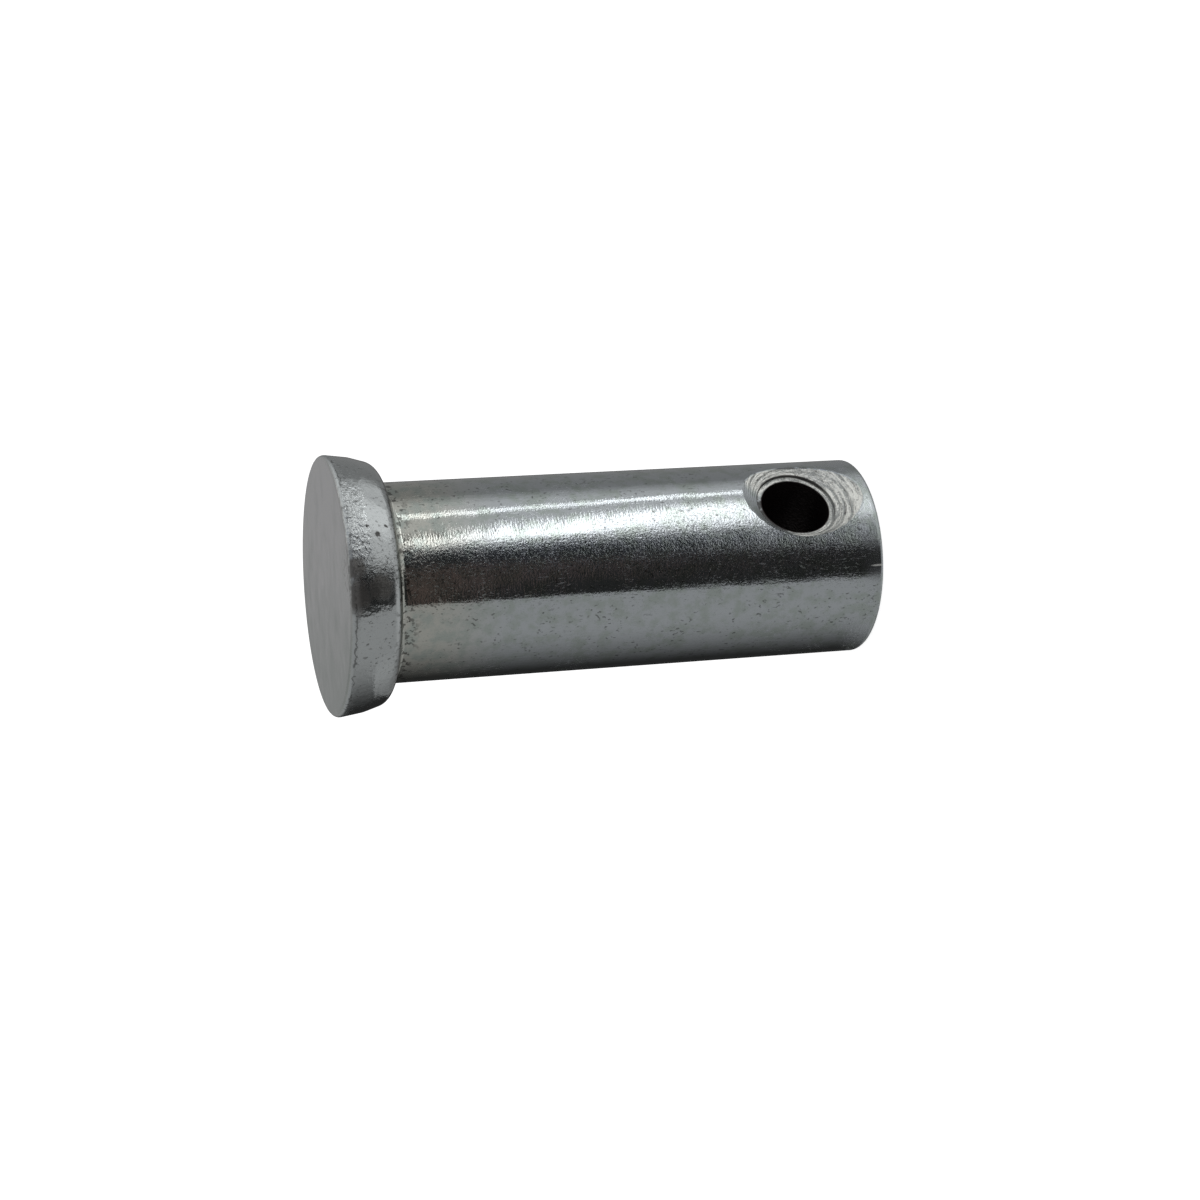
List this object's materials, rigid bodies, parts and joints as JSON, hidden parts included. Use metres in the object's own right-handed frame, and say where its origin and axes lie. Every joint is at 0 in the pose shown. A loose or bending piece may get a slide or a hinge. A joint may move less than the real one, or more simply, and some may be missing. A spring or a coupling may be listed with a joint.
{
  "type": "clevis pin",
  "caption": "Headed clevis pin: a plain cylindrical shank with a flat upset head and a countersunk cross hole near the free end for a split pin.",
  "frame": {"origin": "centre of the flat end face of the shank, which the pin stands on", "axes": "+Z runs along the pin's axis from the free end out through the head; the cross hole runs along Y"},
  "size_m": [0.0156, 0.0156, 0.0333],
  "materials": {
    "zinc_plated_steel": "bright zinc plate, lightly pitted"
  },
  "bodies": {
    "root": {"clevis_pin": "zinc_plated_steel"}
  },
  "joints": []
}
